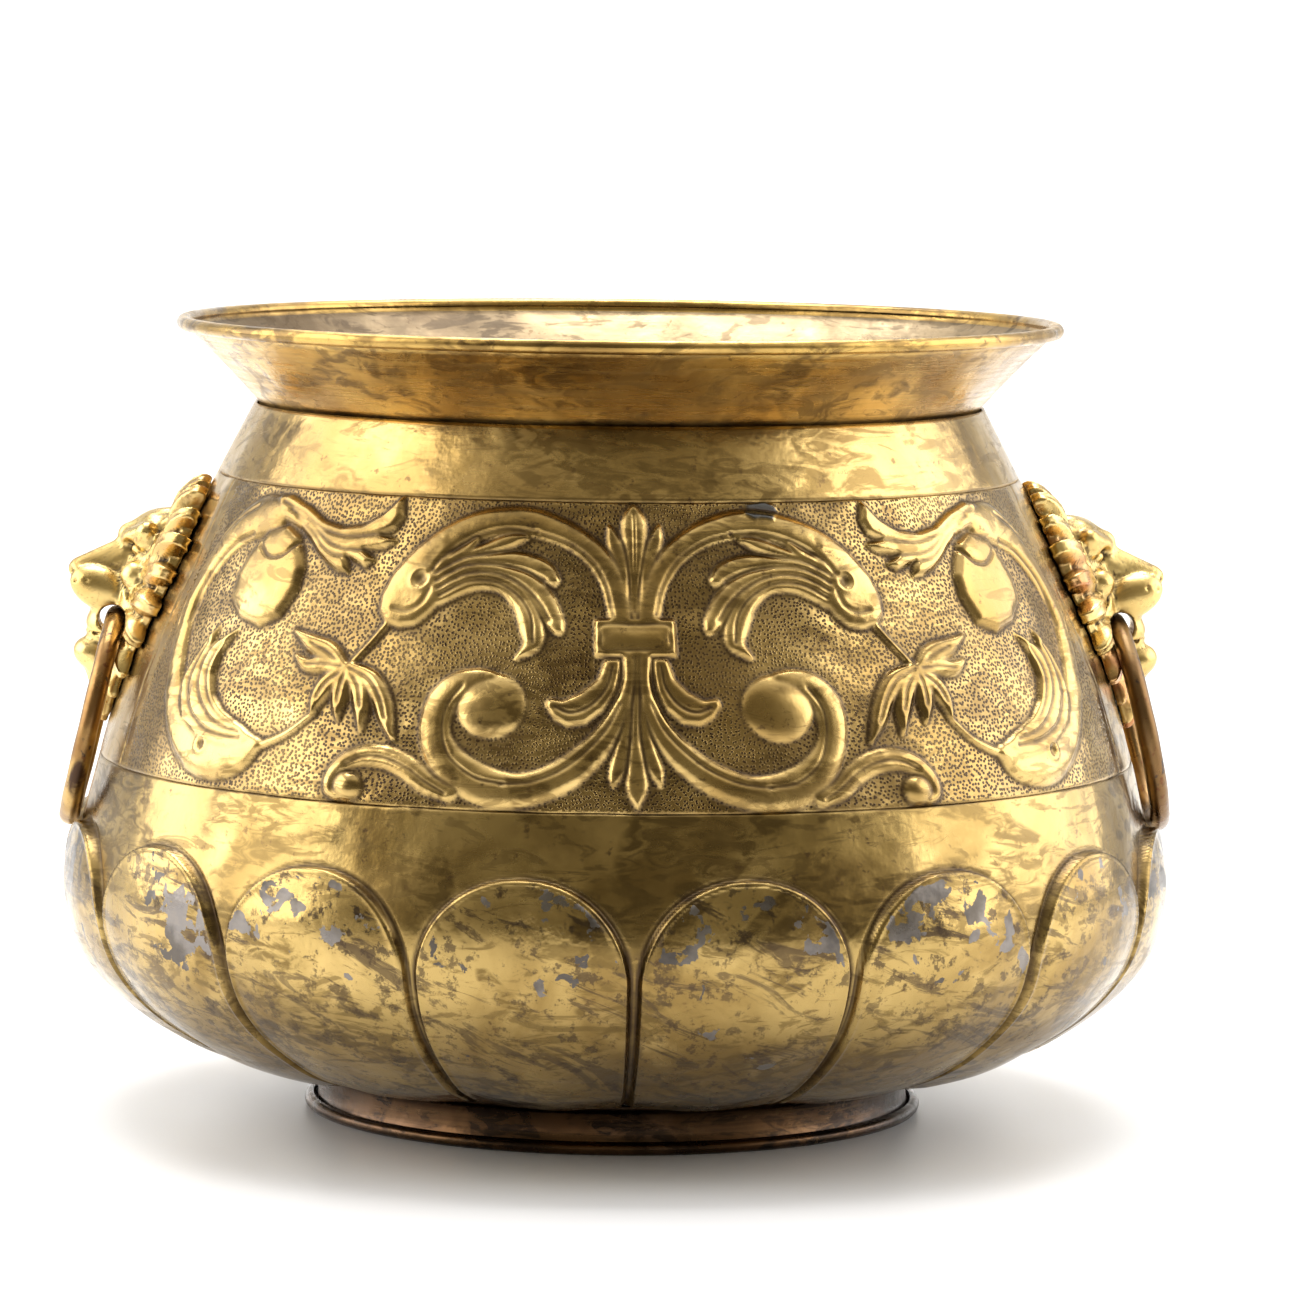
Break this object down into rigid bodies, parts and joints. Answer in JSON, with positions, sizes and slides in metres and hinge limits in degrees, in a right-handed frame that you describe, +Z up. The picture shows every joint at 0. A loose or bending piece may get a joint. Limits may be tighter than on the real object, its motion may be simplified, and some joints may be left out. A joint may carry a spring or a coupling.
{
  "type": "brass planter pot",
  "caption": "Squat brass planter bowl with a flared wired collar, pressed lobes, a waisted foot and lion-mask drop ring handles at its sides.",
  "frame": {"origin": "on the floor, at the centre of the pot", "axes": "+Z up along the pot's turning axis; the two masks stand at +X and -X; -Y faces the front of the embossed band"},
  "size_m": [0.4268, 0.4226, 0.3039],
  "materials": {
    "body_brass": "aged hand-worked sheet brass, part polished",
    "foot_brass": "darker, redder spun brass",
    "cast_brass": "polished casting with coppery recesses",
    "ring_brass": "brown, rubbed round wire",
    "iron_wire": "dull iron wire",
    "fastener_brass": "dull brass"
  },
  "bodies": {
    "planter": {"bowl": "body_brass", "flared_collar": "body_brass", "rim_wire": "iron_wire", "foot_ring": "foot_brass", "foot_wire": "iron_wire", "lion_mask_left": "cast_brass", "stud_upper_left": "fastener_brass", "washer_upper_left": "fastener_brass", "nut_upper_left": "fastener_brass", "stud_lower_left": "fastener_brass", "washer_lower_left": "fastener_brass", "nut_lower_left": "fastener_brass", "lion_mask_right": "cast_brass", "stud_upper_right": "fastener_brass", "washer_upper_right": "fastener_brass", "nut_upper_right": "fastener_brass", "stud_lower_right": "fastener_brass", "washer_lower_right": "fastener_brass", "nut_lower_right": "fastener_brass"},
    "left_ring": {"ring_left": "ring_brass"},
    "right_ring": {"ring_right": "ring_brass"}
  },
  "joints": [
    {"name": "left_ring_swing", "type": "hinge", "parent": "planter", "child": "left_ring", "pos_m": [-0.192, 0, 0.188], "axis": [0, 1, 0], "range_deg": [0, 110]},
    {"name": "right_ring_swing", "type": "hinge", "parent": "planter", "child": "right_ring", "pos_m": [0.192, 0, 0.188], "axis": [0, -1, 0], "range_deg": [0, 110]}
  ]
}
